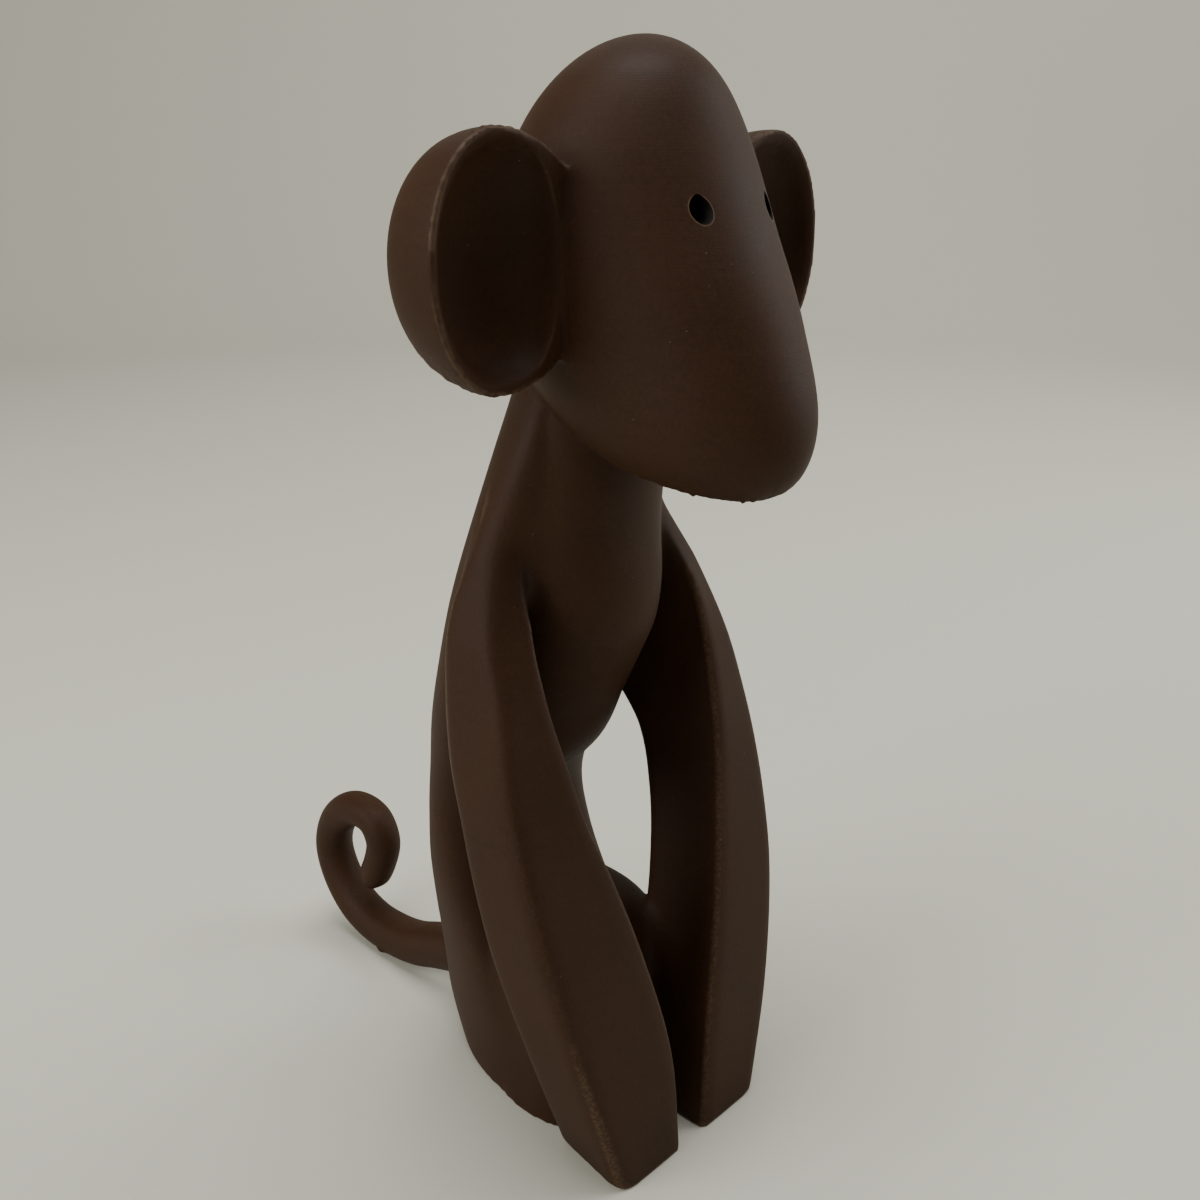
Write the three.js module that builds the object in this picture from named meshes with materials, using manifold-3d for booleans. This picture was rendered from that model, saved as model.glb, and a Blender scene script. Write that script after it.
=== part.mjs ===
// A seated monkey figurine, printed in one piece in brown plastic.
// Millimetres, +Z up. The origin is on the table under the figure, which faces -Y.
// One solid: head, ears, torso, back, lap, two arms that reach the table, and a curled tail.
import * as THREE from 'three';
import { mergeVertices } from 'three/addons/utils/BufferGeometryUtils.js';
import Module from 'manifold-3d';

// Driving dimensions
const FIGURE_HEIGHT = 170;
const EYE_DIAMETER = 3.4;
const EYE_DEPTH = 4;
const EAR_LIP = 1.7;
const EAR_DISH_DEPTH = 6;
const TAIL_ROOT_DIAMETER = 9.4;
const TAIL_TIP_DIAMETER = 6.4;
const TAIL_FLAT = 0.6;

// The free forms are drawn on a grid of 17 units to the figure's height
const UNIT = FIGURE_HEIGHT / 17;

// What lies under the table line is cut away, so that every foot is flat
const BELOW_TABLE = 0.2;

// Facets
const HEAD_FACETS = { around: 36, along: 24 };
const TORSO_FACETS = { around: 28, along: 15 };
const BACK_FACETS = { around: 32, along: 22 };
const LAP_FACETS = { around: 24, along: 12 };
const ARM_FACETS = { around: 20, along: 20 };
const EAR_FACETS = { around: 28, along: 12 };
const TAIL_FACETS = { around: 12, along: 40 };
const EYE_FACETS = 12;

const PLASTIC = new THREE.MeshStandardMaterial({ color: 0x4a3122, roughness: 0.62, metalness: 0 });

const { clamp, lerp } = THREE.MathUtils;
const wasm = await Module();
wasm.setup();

// A solid from a closed geometry
function solidOf(geometry) {
  geometry.deleteAttribute('normal');
  geometry.deleteAttribute('uv');
  const merged = mergeVertices(geometry, 1e-4);
  return new wasm.Manifold(new wasm.Mesh({
    numProp: 3,
    vertProperties: new Float32Array(merged.attributes.position.array),
    triVerts: new Uint32Array(merged.index.array),
  }));
}

// A geometry from a solid
function geometryOf(solid) {
  const mesh = solid.getMesh();
  const geometry = new THREE.BufferGeometry();
  geometry.setAttribute('position', new THREE.BufferAttribute(mesh.vertProperties, 3));
  geometry.setIndex(new THREE.BufferAttribute(mesh.triVerts, 1));
  geometry.computeVertexNormals();
  return geometry;
}

// The same solid on the other side of the body
function mirrored(solid) {
  return solid.mirror([1, 0, 0]);
}

// Smooth values between stations; each station is [position, value, value, ...]
function smooth(stations) {
  const positions = stations.map((station) => station[0]);
  const values = stations.flatMap((station) => station.slice(1));
  const curve = new THREE.CubicInterpolant(positions, values, stations[0].length - 1);
  return (position) => Array.from(curve.evaluate(position));
}

// Every vertex of a geometry moved by a rule
function mould(geometry, rule) {
  const position = geometry.attributes.position;
  const point = new THREE.Vector3();
  for (let index = 0; index < position.count; index += 1) {
    const moved = rule(point.fromBufferAttribute(position, index));
    position.setXYZ(index, moved.x, moved.y, moved.z);
  }
  return geometry;
}

// A ball of radius 1 with its poles up and down
function ball({ around, along }) {
  return new THREE.SphereGeometry(1, around, along).rotateX(Math.PI / 2);
}

// A closed upright drum of radius 1, from z = 0 to z = 1, with facet corners on its diagonals
function drum({ around, along }) {
  const geometry = new THREE.CylinderGeometry(1, 1, 1, around, along, false, Math.PI / around);
  return geometry.rotateX(Math.PI / 2).translate(0, 0, 0.5);
}

// A point of the unit circle pushed out towards the square round it; power 2 is the circle itself
function squared(value, power) {
  return Math.sign(value) * Math.pow(Math.abs(value), 2 / power);
}

// Where a point of a ball or drum stands on its own ring
function onRing(point) {
  const radius = Math.hypot(point.x, point.y);
  return radius > 1e-6 ? { x: point.x / radius, y: point.y / radius, radius } : { x: 0, y: 0, radius: 0 };
}

// Head: an egg whose lower front is drawn forward into a long muzzle
const HEAD_CENTRE_Z = 14.02;
const HEAD_RISE = 2.98;
const HEAD_DROP = 3.16;
const JAW_LIFT = 0.45;
const MUZZLE_SQUARENESS = 4;
const headShape = smooth([
  // level from -1 to 1, centre y, half width, depth forward, depth back
  [-1.0, -1.9, 1.5, 2.45, 1.9],
  [-0.6, -1.5, 1.7, 2.66, 2.2],
  [-0.2, -1.15, 1.75, 2.5, 2.15],
  [0.2, -1.0, 1.78, 2.1, 2.05],
  [0.6, -1.05, 1.86, 1.86, 2.05],
  [1.0, -1.2, 1.9, 1.9, 2.1],
]);

function headPoint(point) {
  const level = point.z;
  const [centre, width, forward, back] = headShape(level);
  const squareness = lerp(2, MUZZLE_SQUARENESS, Math.max(0, -level));
  const reach = Math.pow(1 - Math.pow(Math.abs(level), squareness), 1 / squareness);
  const ring = onRing(point);
  const depth = ring.y < 0 ? forward : back;
  const lift = JAW_LIFT * Math.max(0, -level) * (1 + ring.y * reach);
  return new THREE.Vector3(
    width * ring.x * reach,
    centre + depth * ring.y * reach,
    HEAD_CENTRE_Z + (level > 0 ? HEAD_RISE : HEAD_DROP) * level + lift,
  ).multiplyScalar(UNIT);
}

// Torso: neck, chest and the egg of the belly, which tapers down and back
const torsoShape = smooth([
  // height, centre y, half width, depth forward, depth back
  [5.2, 1.55, 0.6, 0.35, 0.6],
  [6.2, 0.9, 1.2, 0.75, 0.8],
  [7.2, 0.5, 1.36, 0.82, 1.0],
  [7.9, 0.3, 1.4, 1.0, 1.0],
  [8.6, 0.15, 1.42, 1.2, 1.0],
  [9.3, 0.05, 1.4, 1.22, 1.0],
  [10.2, -0.1, 1.35, 1.0, 1.0],
  [11.0, -0.25, 1.3, 0.9, 1.1],
  [12.0, -0.35, 1.2, 0.85, 1.15],
  [13.0, -0.5, 1.05, 0.8, 1.0],
]);
const TORSO_BOTTOM = 5.2;
const TORSO_TOP = 13.0;

function torsoPoint(point) {
  const height = lerp(TORSO_BOTTOM, TORSO_TOP, point.z);
  const [centre, width, forward, back] = torsoShape(height);
  const depth = point.y < 0 ? forward : back;
  return new THREE.Vector3(width * point.x, centre + depth * point.y, height).multiplyScalar(UNIT);
}

// Back: the curved slab from the neck down to the seat, which torso, arms and lap lean on.
// Near the table its section narrows to the rear, towards the tail.
const SEAT_TAPER = 1.8;
const SEAT_TAPER_HEIGHT = 3;
const backShape = smooth([
  // height, centre y, half width, depth forward, depth back
  [-0.2, 0.4, 1.36, 0.9, 2.35],
  [1.0, 0.45, 1.53, 0.9, 2.6],
  [2.0, 0.6, 1.63, 0.7, 2.45],
  [4.0, 1.55, 1.66, 0.7, 1.35],
  [5.0, 1.74, 1.64, 0.76, 0.98],
  [6.0, 1.55, 1.72, 0.9, 1.0],
  [7.0, 1.1, 1.93, 0.7, 1.27],
  [8.0, 0.7, 2.03, 0.6, 1.4],
  [9.0, 0.4, 2.02, 0.6, 1.42],
  [10.0, 0.15, 1.9, 0.6, 1.33],
  [11.0, -0.1, 1.66, 0.6, 1.3],
  [12.0, -0.25, 1.3, 0.6, 1.2],
  [13.0, -0.4, 1.05, 0.6, 1.0],
]);
const BACK_TOP = 13.0;

function backPoint(point) {
  const height = lerp(-BELOW_TABLE, BACK_TOP, point.z);
  const [centre, width, forward, back] = backShape(height);
  const taper = lerp(SEAT_TAPER, 2, clamp(height / SEAT_TAPER_HEIGHT, 0, 1));
  const ring = onRing(point);
  const rear = ring.radius * Math.pow(1 - Math.pow(Math.abs(ring.x), taper), 1 / taper);
  const y = point.y < 0 ? forward * point.y : back * rear;
  return new THREE.Vector3(width * point.x, centre + y, height).multiplyScalar(UNIT);
}

// Lap: the block of the legs from the seat forward between the arms, with a rounded top
const LAP_FRONT = -1.15;
const LAP_TABLE_BACK = 1.1;
const LAP_TOP_BACK = 2.3;
const LAP_WALL_HEIGHT = 1.9;
const LAP_TOP_HEIGHT = 3.85;
const LAP_TABLE_HALF_WIDTH = 1.46;
const LAP_HALF_WIDTH = 1.55;
const LAP_SQUARENESS = 3;
const LAP_DOME = 2.6;

function lapPoint(point) {
  const wall = clamp(2 * point.z, 0, 1);
  const rise = clamp(2 * point.z - 1, 0, 1);
  const dome = Math.pow(1 - Math.pow(rise, LAP_DOME), 1 / LAP_DOME);
  const ring = onRing(point);
  const x = ring.radius * squared(ring.x, LAP_SQUARENESS) * dome;
  const y = ring.radius * squared(ring.y, LAP_SQUARENESS) * dome;
  return new THREE.Vector3(
    lerp(LAP_TABLE_HALF_WIDTH, LAP_HALF_WIDTH, wall) * x,
    lerp(LAP_FRONT, lerp(LAP_TABLE_BACK, LAP_TOP_BACK, rise), (1 + y) / 2),
    lerp(-BELOW_TABLE, LAP_WALL_HEIGHT, wall) + (LAP_TOP_HEIGHT - LAP_WALL_HEIGHT) * rise,
  ).multiplyScalar(UNIT);
}

// Arms: bowed four-sided bars with crisp edges, from the shoulders down to the table
const ARM_TOP = 12.0;
const ARM_SQUARENESS = 8;
const armShape = smooth([
  // height, then x and y of the outer front, inner front, outer rear and inner rear edges
  [-0.2, 1.62, -2.5, 0.3, -2.5, 1.36, -0.9, 0.3, -1.0],
  [2.0, 2.21, -2.32, 0.49, -2.42, 2.22, -1.04, 0.55, -0.8],
  [4.0, 2.62, -2.0, 0.96, -2.15, 2.62, -0.62, 0.99, -0.65],
  [5.2, 2.75, -1.7, 1.28, -1.88, 2.75, -0.4, 1.34, -0.32],
  [6.2, 2.78, -1.42, 1.57, -1.6, 2.78, -0.2, 1.62, 0.2],
  [7.0, 2.74, -1.18, 1.7, -1.38, 2.74, 0.02, 1.68, 0.9],
  [8.0, 2.6, -0.89, 1.82, -1.07, 2.6, 0.24, 1.6, 1.0],
  [9.0, 2.4, -0.46, 1.78, -0.75, 2.43, 0.35, 1.4, 1.0],
  [10.0, 1.97, -0.18, 1.4, -0.33, 2.03, 0.35, 1.1, 0.8],
  [11.0, 1.42, 0, 0.85, -0.1, 1.5, 0.3, 0.75, 0.6],
  [12.0, 0.85, 0, 0.55, -0.1, 0.9, 0.25, 0.5, 0.5],
]);

function armPoint(point) {
  const height = lerp(-BELOW_TABLE, ARM_TOP, point.z);
  const [outerFrontX, outerFrontY, innerFrontX, innerFrontY,
    outerRearX, outerRearY, innerRearX, innerRearY] = armShape(height);
  const ring = onRing(point);
  const corner = squared(Math.SQRT1_2, ARM_SQUARENESS);
  const outward = (1 + (ring.radius * squared(ring.x, ARM_SQUARENESS)) / corner) / 2;
  const rearward = (1 + (ring.radius * squared(ring.y, ARM_SQUARENESS)) / corner) / 2;
  return new THREE.Vector3(
    lerp(lerp(innerFrontX, outerFrontX, outward), lerp(innerRearX, outerRearX, outward), rearward),
    lerp(lerp(innerFrontY, outerFrontY, outward), lerp(innerRearY, outerRearY, outward), rearward),
    height,
  ).multiplyScalar(UNIT);
}

// Ears: upright oval cups that face forward, with a thin lip round a smooth dish.
// Towards the head they are wider and run into it, so that the lip meets it in a straight crease.
const EAR_CENTRE = new THREE.Vector3(2.79, -1.38, 14.25);
const EAR_OUTER_HALF_WIDTH = 1.12;
const EAR_INNER_HALF_WIDTH = 1.6;
const EAR_HALF_HEIGHT = 1.6;
const EAR_CUP_DEPTH = 1.55;
const EAR_FULLNESS = 2.4;

function earPoint(point) {
  const ring = onRing(point);
  const behind = Math.max(0, point.z);
  const shrink = Math.pow(1 - Math.pow(behind, EAR_FULLNESS), 1 / EAR_FULLNESS);
  const spread = point.z < 0 ? ring.radius : shrink;
  const halfWidth = ring.x < 0 ? EAR_INNER_HALF_WIDTH : EAR_OUTER_HALF_WIDTH;
  return new THREE.Vector3(
    EAR_CENTRE.x + halfWidth * ring.x * spread,
    EAR_CENTRE.y + EAR_CUP_DEPTH * behind,
    EAR_CENTRE.z - EAR_HALF_HEIGHT * ring.y * spread,
  ).multiplyScalar(UNIT);
}

function earDish() {
  const dish = ball(EAR_FACETS);
  dish.scale(EAR_OUTER_HALF_WIDTH * UNIT - EAR_LIP, EAR_DISH_DEPTH, EAR_HALF_HEIGHT * UNIT - EAR_LIP);
  dish.translate(EAR_CENTRE.x * UNIT, EAR_CENTRE.y * UNIT, EAR_CENTRE.z * UNIT);
  return solidOf(dish);
}

// Eyes: blind round holes straight into the face
const EYE_CENTRE = new THREE.Vector3(0.7, -2.7, 14.87);

function eyeHole() {
  const clear = EYE_DIAMETER;
  const hole = new THREE.CylinderGeometry(EYE_DIAMETER / 2, EYE_DIAMETER / 2, EYE_DEPTH + clear, EYE_FACETS);
  hole.translate(EYE_CENTRE.x * UNIT, EYE_CENTRE.y * UNIT + (EYE_DEPTH - clear) / 2, EYE_CENTRE.z * UNIT);
  return solidOf(hole);
}

// Tail: a round rope that lies on the table, rises and curls over until its tip rests on its root
const TAIL_REST_HEIGHT = TAIL_ROOT_DIAMETER / 2 - TAIL_FLAT;
const TAIL_END_ROUNDING = 6;
const tailPath = new THREE.CatmullRomCurve3([
  // distance behind the origin and height above the stretch that lies on the table
  [2.6, 0.8], [3.87, 0.37], [4.53, 0.12], [5.18, 0], [5.95, 0.01], [6.58, 0.24], [7.05, 0.73], [7.24, 1.33],
  [7.0, 2.0], [6.38, 2.46], [5.77, 2.44], [5.53, 2.06], [5.68, 1.5], [5.98, 0.98], [6.1, 0.75],
].map(([y, z]) => new THREE.Vector3(0, y * UNIT, TAIL_REST_HEIGHT + z * UNIT)));

function tailPoint(point) {
  const along = 1 - Math.acos(clamp(point.z, -1, 1)) / Math.PI;
  const centre = tailPath.getPointAt(clamp(along, 0, 1));
  const upward = new THREE.Vector3(1, 0, 0).cross(tailPath.getTangentAt(clamp(along, 0, 1)));
  const ring = onRing(point);
  const end = Math.sqrt(Math.min(1, Math.sin(Math.PI * along) * TAIL_END_ROUNDING));
  const radius = (lerp(TAIL_ROOT_DIAMETER, TAIL_TIP_DIAMETER, along) / 2) * (ring.radius > 0 ? end : 0);
  return centre.addScaledVector(upward, ring.y * radius).setX(-ring.x * radius);
}

function figure() {
  const arm = solidOf(mould(drum(ARM_FACETS), armPoint));
  const ear = solidOf(mould(ball(EAR_FACETS), earPoint));
  const dish = earDish();
  const eye = eyeHole();
  const below = new THREE.BoxGeometry(FIGURE_HEIGHT, FIGURE_HEIGHT, UNIT).translate(0, 0, -UNIT / 2);
  const joined = [
    solidOf(mould(ball(HEAD_FACETS), headPoint)),
    solidOf(mould(drum(TORSO_FACETS), torsoPoint)),
    solidOf(mould(drum(BACK_FACETS), backPoint)),
    solidOf(mould(drum(LAP_FACETS), lapPoint)),
    solidOf(mould(ball(TAIL_FACETS), tailPoint)),
    arm, mirrored(arm), ear, mirrored(ear),
  ].reduce((body, form) => body.add(form));
  return [dish, mirrored(dish), eye, mirrored(eye), solidOf(below)]
    .reduce((body, cut) => body.subtract(cut), joined);
}

const monkey = new THREE.Mesh(geometryOf(figure()), PLASTIC);
monkey.name = 'monkey_figurine';

const model = new THREE.Group();
model.add(monkey);
export default model;
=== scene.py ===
"""A seated monkey figurine, printed in one piece in brown plastic: its finish and its studio.

Everything is in metres in the solid's own frame: +Z up, the monkey faces -Y, and the origin is on
the table under it. The forms repeat the solid's proportions with far more facets. They are joined,
cut and remeshed into one closed skin, which gets the marks of the printer.
"""

import logging
import math
from bisect import bisect_right
from dataclasses import dataclass, field
from enum import Enum
from typing import Callable, Iterable, Protocol, Union

import bmesh
import bpy
import numpy as np
from mathutils import Matrix, Vector, noise


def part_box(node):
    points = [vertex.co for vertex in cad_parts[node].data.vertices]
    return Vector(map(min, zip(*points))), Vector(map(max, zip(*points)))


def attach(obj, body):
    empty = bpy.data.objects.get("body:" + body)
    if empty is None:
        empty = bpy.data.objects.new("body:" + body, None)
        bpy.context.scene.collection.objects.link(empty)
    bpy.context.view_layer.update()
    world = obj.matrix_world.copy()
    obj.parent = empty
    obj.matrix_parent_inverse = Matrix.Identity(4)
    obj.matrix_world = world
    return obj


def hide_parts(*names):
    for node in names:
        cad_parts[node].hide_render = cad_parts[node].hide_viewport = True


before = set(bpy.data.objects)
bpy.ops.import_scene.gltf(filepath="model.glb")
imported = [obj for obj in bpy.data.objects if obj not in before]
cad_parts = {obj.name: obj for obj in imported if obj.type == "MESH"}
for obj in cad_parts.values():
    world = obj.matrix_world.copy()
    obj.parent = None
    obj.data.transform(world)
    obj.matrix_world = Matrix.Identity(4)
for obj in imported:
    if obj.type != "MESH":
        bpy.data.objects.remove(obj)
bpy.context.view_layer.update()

log = logging.getLogger("monkey_figurine")

NODE = "monkey_figurine"
BODY = "root"

# Sizes that don't follow the figure's height are in millimetres
MM = 0.001

# The free forms are drawn on a grid of 17 units to the figure's height
FIGURE_LOW, FIGURE_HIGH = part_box(NODE)
UNIT = (FIGURE_HIGH.z - FIGURE_LOW.z) / 17

# What lies under the table line is cut away, so that every foot is flat
BELOW_TABLE = 0.2

Place = tuple[float, float, float]
Span = tuple[float, float]
Rule = Callable[[Vector], Vector]
Stations = tuple[tuple[float, ...], ...]

# The point that the lights on the figure face
FIGURE_MIDDLE: Place = (0.0, 0.0, 0.09)


class Operation(Enum):
    """How one solid works on another."""

    JOIN = "UNION"
    CUT = "DIFFERENCE"


class ArmEdge(Enum):
    """The edges of an arm that carry pale lines of painted highlight, by the first column of their
    stations.
    """

    OUTER_FRONT = 0
    INNER_FRONT = 2
    OUTER_REAR = 4


@dataclass(frozen=True)
class Facets:
    """How finely a form is divided.

    Args:
        around: Divisions round the form.
        along: Divisions along it.
    """

    around: int
    along: int


@dataclass(frozen=True)
class Profile:
    """Smooth values between stations.

    Args:
        stations: Each one is (position, value, value, ...), in rising order of position.
    """

    stations: Stations

    def at(self, position: float) -> list[float]:
        """Reads the values at a position.

        Args:
            position: Where along the form, in the stations' own units.

        Returns:
            One number for each value of a station.
        """
        knots = self.stations
        places = [knot[0] for knot in knots]
        left = min(max(bisect_right(places, position) - 1, 0), len(knots) - 2)
        span = places[left + 1] - places[left]
        share = (position - places[left]) / span
        return [
            self._between(left, column, span, share)
            for column in range(1, len(knots[0]))
        ]

    def _secant(self, left: int, column: int) -> float:
        """Slope of the straight line over one interval."""
        low, high = self.stations[left], self.stations[left + 1]
        return (high[column] - low[column]) / (high[0] - low[0])

    def _slope(self, knot: int, column: int) -> float:
        """Slope at a station: the mean of its two intervals, or the only one at an end.

        Args:
            knot: The station.
            column: Which of its values.

        Returns:
            The slope.
        """
        before = self._secant(max(knot - 1, 0), column)
        after = self._secant(min(knot, len(self.stations) - 2), column)
        return (before + after) / 2

    def _between(self, left: int, column: int, span: float, share: float) -> float:
        """Hermite value inside one interval.

        Args:
            left: The station at its start.
            column: Which of the station's values.
            span: The interval's length.
            share: How far along the interval.

        Returns:
            The value there.
        """
        low = self.stations[left][column]
        high = self.stations[left + 1][column]
        rise_low = self._slope(left, column) * span
        rise_high = self._slope(left + 1, column) * span
        bend = share * share * (3 - 2 * share)
        return (
            low + (high - low) * bend
            + rise_low * share * (1 - share) ** 2
            - rise_high * share * share * (1 - share)
        )


@dataclass(frozen=True)
class Path:
    """A smooth curve in the plane of symmetry, read by its share of the length.

    Args:
        points: Each one is (distance behind the origin, height), in metres.
        samples: Steps between two points.
    """

    points: tuple[tuple[float, float], ...]
    samples: int = 24

    def trace(self) -> np.ndarray:
        """Samples the centripetal curve through the points.

        Returns:
            An array of rows (y, z).
        """
        given = np.array(self.points)
        knots = np.vstack([2 * given[0] - given[1], given, 2 * given[-1] - given[-2]])
        steps = np.linspace(0, 1, self.samples, endpoint=False)[:, None]
        rows = []
        for p0, p1, p2, p3 in zip(knots, knots[1:], knots[2:], knots[3:]):
            d0, d1, d2 = (math.sqrt(np.linalg.norm(b - a)) for a, b in ((p0, p1), (p1, p2), (p2, p3)))
            out = ((p1 - p0) / d0 - (p2 - p0) / (d0 + d1) + (p2 - p1) / d1) * d1
            into = ((p2 - p1) / d1 - (p3 - p1) / (d1 + d2) + (p3 - p2) / d2) * d1
            bend = steps * steps * (3 - 2 * steps)
            rows.append(
                p1 + (p2 - p1) * bend
                + out * steps * (1 - steps) ** 2
                - into * steps * steps * (1 - steps)
            )
        return np.vstack([*rows, given[-1:]])

    def reader(self) -> Callable[[float], tuple[Vector, Vector]]:
        """Makes a function from a share of the length to a place on the curve.

        Returns:
            A function that gives the point there and the direction upward from the curve.
        """
        rows = self.trace()
        lengths = np.linalg.norm(np.diff(rows, axis=0), axis=1)
        along = np.concatenate([[0.0], np.cumsum(lengths)]) / lengths.sum()
        slopes = np.gradient(rows, along, axis=0)

        def read(share: float) -> tuple[Vector, Vector]:
            """Reads the curve.

            Args:
                share: The share of its length.

            Returns:
                The point there, and the direction upward.
            """
            y, z = (float(np.interp(share, along, rows[:, axis])) for axis in (0, 1))
            dy, dz = (float(np.interp(share, along, slopes[:, axis])) for axis in (0, 1))
            return Vector((0, y, z)), Vector((0, -dz, dy)).normalized()

        return read


def ring_of(point: Vector) -> tuple[float, float, float]:
    """Tells where a point of a unit ball or drum stands on its own ring.

    Args:
        point: A point of the ball or drum.

    Returns:
        The x and y of its direction, and its distance from the axis.
    """
    radius = math.hypot(point.x, point.y)
    if radius < 1e-6:
        return 0.0, 0.0, 0.0
    return point.x / radius, point.y / radius, radius


def squared(value: float, power: float) -> float:
    """Pushes a point of the unit circle out towards the square; power 2 is the circle itself."""
    return math.copysign(abs(value) ** (2 / power), value)


def lerp(low: float, high: float, share: float) -> float:
    """Goes from low to high as the share goes from 0 to 1."""
    return low + (high - low) * share


def limit(value: float, low: float = 0.0, high: float = 1.0) -> float:
    """Keeps a value between two limits."""
    return min(max(value, low), high)


def superellipse(value: float, power: float) -> float:
    """The other coordinate of a superellipse whose first coordinate is given."""
    return max(0.0, 1 - abs(value) ** power) ** (1 / power)


def ramp(values: np.ndarray, low: float, high: float) -> np.ndarray:
    """Goes from 0 where the values are low to 1 where they are high; high may be the smaller one."""
    return np.clip((values - low) / (high - low), 0, 1)


def ball(facets: Facets) -> bmesh.types.BMesh:
    """Makes a ball of radius 1 with its poles up and down.

    Args:
        facets: How finely it is divided.

    Returns:
        The ball.
    """
    bm = bmesh.new()
    bmesh.ops.create_uvsphere(bm, u_segments=facets.around, v_segments=facets.along, radius=1)
    return bm


def drum(facets: Facets) -> bmesh.types.BMesh:
    """Makes a closed upright drum of radius 1, from z = 0 to z = 1.

    Args:
        facets: How finely it is divided.

    Returns:
        The drum.
    """
    bm = bmesh.new()
    bmesh.ops.create_cone(bm, cap_ends=True, segments=facets.around, radius1=1, radius2=1, depth=1)
    uprights = [edge for edge in bm.edges if abs(edge.verts[0].co.z - edge.verts[1].co.z) > 0.5]
    bmesh.ops.subdivide_edges(bm, edges=uprights, cuts=facets.along - 1, use_grid_fill=True)
    bmesh.ops.translate(bm, verts=bm.verts, vec=(0, 0, 0.5))
    return bm


def mould(bm: bmesh.types.BMesh, rule: Rule) -> bmesh.types.BMesh:
    """Moves every vertex of a form by a rule and closes its poles.

    Args:
        bm: The form, changed in place.
        rule: Gives the new place of a point.

    Returns:
        The same form.
    """
    for vertex in bm.verts:
        vertex.co = rule(vertex.co.copy())
    bmesh.ops.remove_doubles(bm, verts=bm.verts, dist=0.001 * MM)
    bmesh.ops.recalc_face_normals(bm, faces=bm.faces)
    return bm


def mirrored(bm: bmesh.types.BMesh) -> bmesh.types.BMesh:
    """Makes the same form on the other side of the body.

    Args:
        bm: The form, which stays as it is.

    Returns:
        Its mirror image.
    """
    other = bm.copy()
    bmesh.ops.scale(other, vec=(-1, 1, 1), verts=other.verts)
    bmesh.ops.reverse_faces(other, faces=other.faces)
    return other


class Form(Protocol):
    """A form of the figure that gives its closed solids."""

    def solids(self) -> list[bmesh.types.BMesh]:
        """Builds the closed solids that this form adds."""


@dataclass(frozen=True)
class Head:
    """An egg whose lower front is drawn forward into a long muzzle, with a blind hole for each eye."""

    centre_z: float = 14.02
    rise: float = 2.98
    drop: float = 3.16
    jaw_lift: float = 0.45
    muzzle_squareness: float = 4
    facets: Facets = Facets(144, 96)
    eye_centre: Place = (0.7, -2.7, 14.87)
    eye_diameter: float = 3.4 * MM
    eye_depth: float = 4 * MM
    eye_sag: float = 0.14
    eye_sag_power: int = 8
    eye_squeeze: float = 0.82
    eye_facets: Facets = Facets(48, 18)
    shape: Profile = Profile((
        # Level from -1 to 1, centre y, half width, depth forward, depth back
        (-1.0, -1.9, 1.5, 2.45, 1.9),
        (-0.6, -1.5, 1.7, 2.66, 2.2),
        (-0.2, -1.15, 1.75, 2.5, 2.15),
        (0.2, -1.0, 1.78, 2.1, 2.05),
        (0.6, -1.05, 1.86, 1.86, 2.05),
        (1.0, -1.2, 1.9, 1.9, 2.1),
    ))

    def place(self, point: Vector) -> Vector:
        """Turns a point of the unit ball into one of the head.

        Args:
            point: The point.

        Returns:
            Its place on the head.
        """
        level = point.z
        centre, width, forward, back = self.shape.at(level)
        reach = superellipse(level, lerp(2, self.muzzle_squareness, max(0.0, -level)))
        ring_x, ring_y, _ = ring_of(point)
        depth = forward if ring_y < 0 else back
        lift = self.jaw_lift * max(0.0, -level) * (1 + ring_y * reach)
        height = self.centre_z + (self.rise if level > 0 else self.drop) * level + lift
        return Vector((width * ring_x * reach, centre + depth * ring_y * reach, height)) * UNIT

    def solids(self) -> list[bmesh.types.BMesh]:
        """Builds the head."""
        return [mould(ball(self.facets), self.place)]

    def off_eyes(self, places: np.ndarray) -> np.ndarray:
        """Measures how far points are from an eye hole's axis, in radii of the hole.

        Args:
            places: Rows of x, y, z.

        Returns:
            One number for each row, and infinity behind the face.
        """
        x, y, z = (value * UNIT for value in self.eye_centre)
        distance = np.hypot(np.abs(places[:, 0]) - x, places[:, 2] - z)
        in_front = places[:, 1] < y + 2 * self.eye_depth
        return np.where(in_front, distance / (self.eye_diameter / 2), np.inf)

    def eye_holes(self) -> list[bmesh.types.BMesh]:
        """Builds what the two eye holes take out, with the sagging top of a printed hole.

        Returns:
            One closed solid for each eye.
        """
        clear = self.eye_diameter
        radius = self.eye_diameter / 2
        x, y, z = (value * UNIT for value in self.eye_centre)

        def place(point: Vector) -> Vector:
            """Lays the unit drum down with its axis to the rear and gives it the hole's outline.

            Args:
                point: A point of the drum.

            Returns:
                Its place on the hole's wall.
            """
            sag = 1 + self.eye_sag * max(0.0, point.y) ** self.eye_sag_power
            across = radius * self.eye_squeeze * point.x
            depth = lerp(-clear, self.eye_depth, point.z)
            return Vector((x + across, y + depth, z + radius * point.y * sag))

        hole = mould(drum(self.eye_facets), place)
        return [hole, mirrored(hole)]


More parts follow.
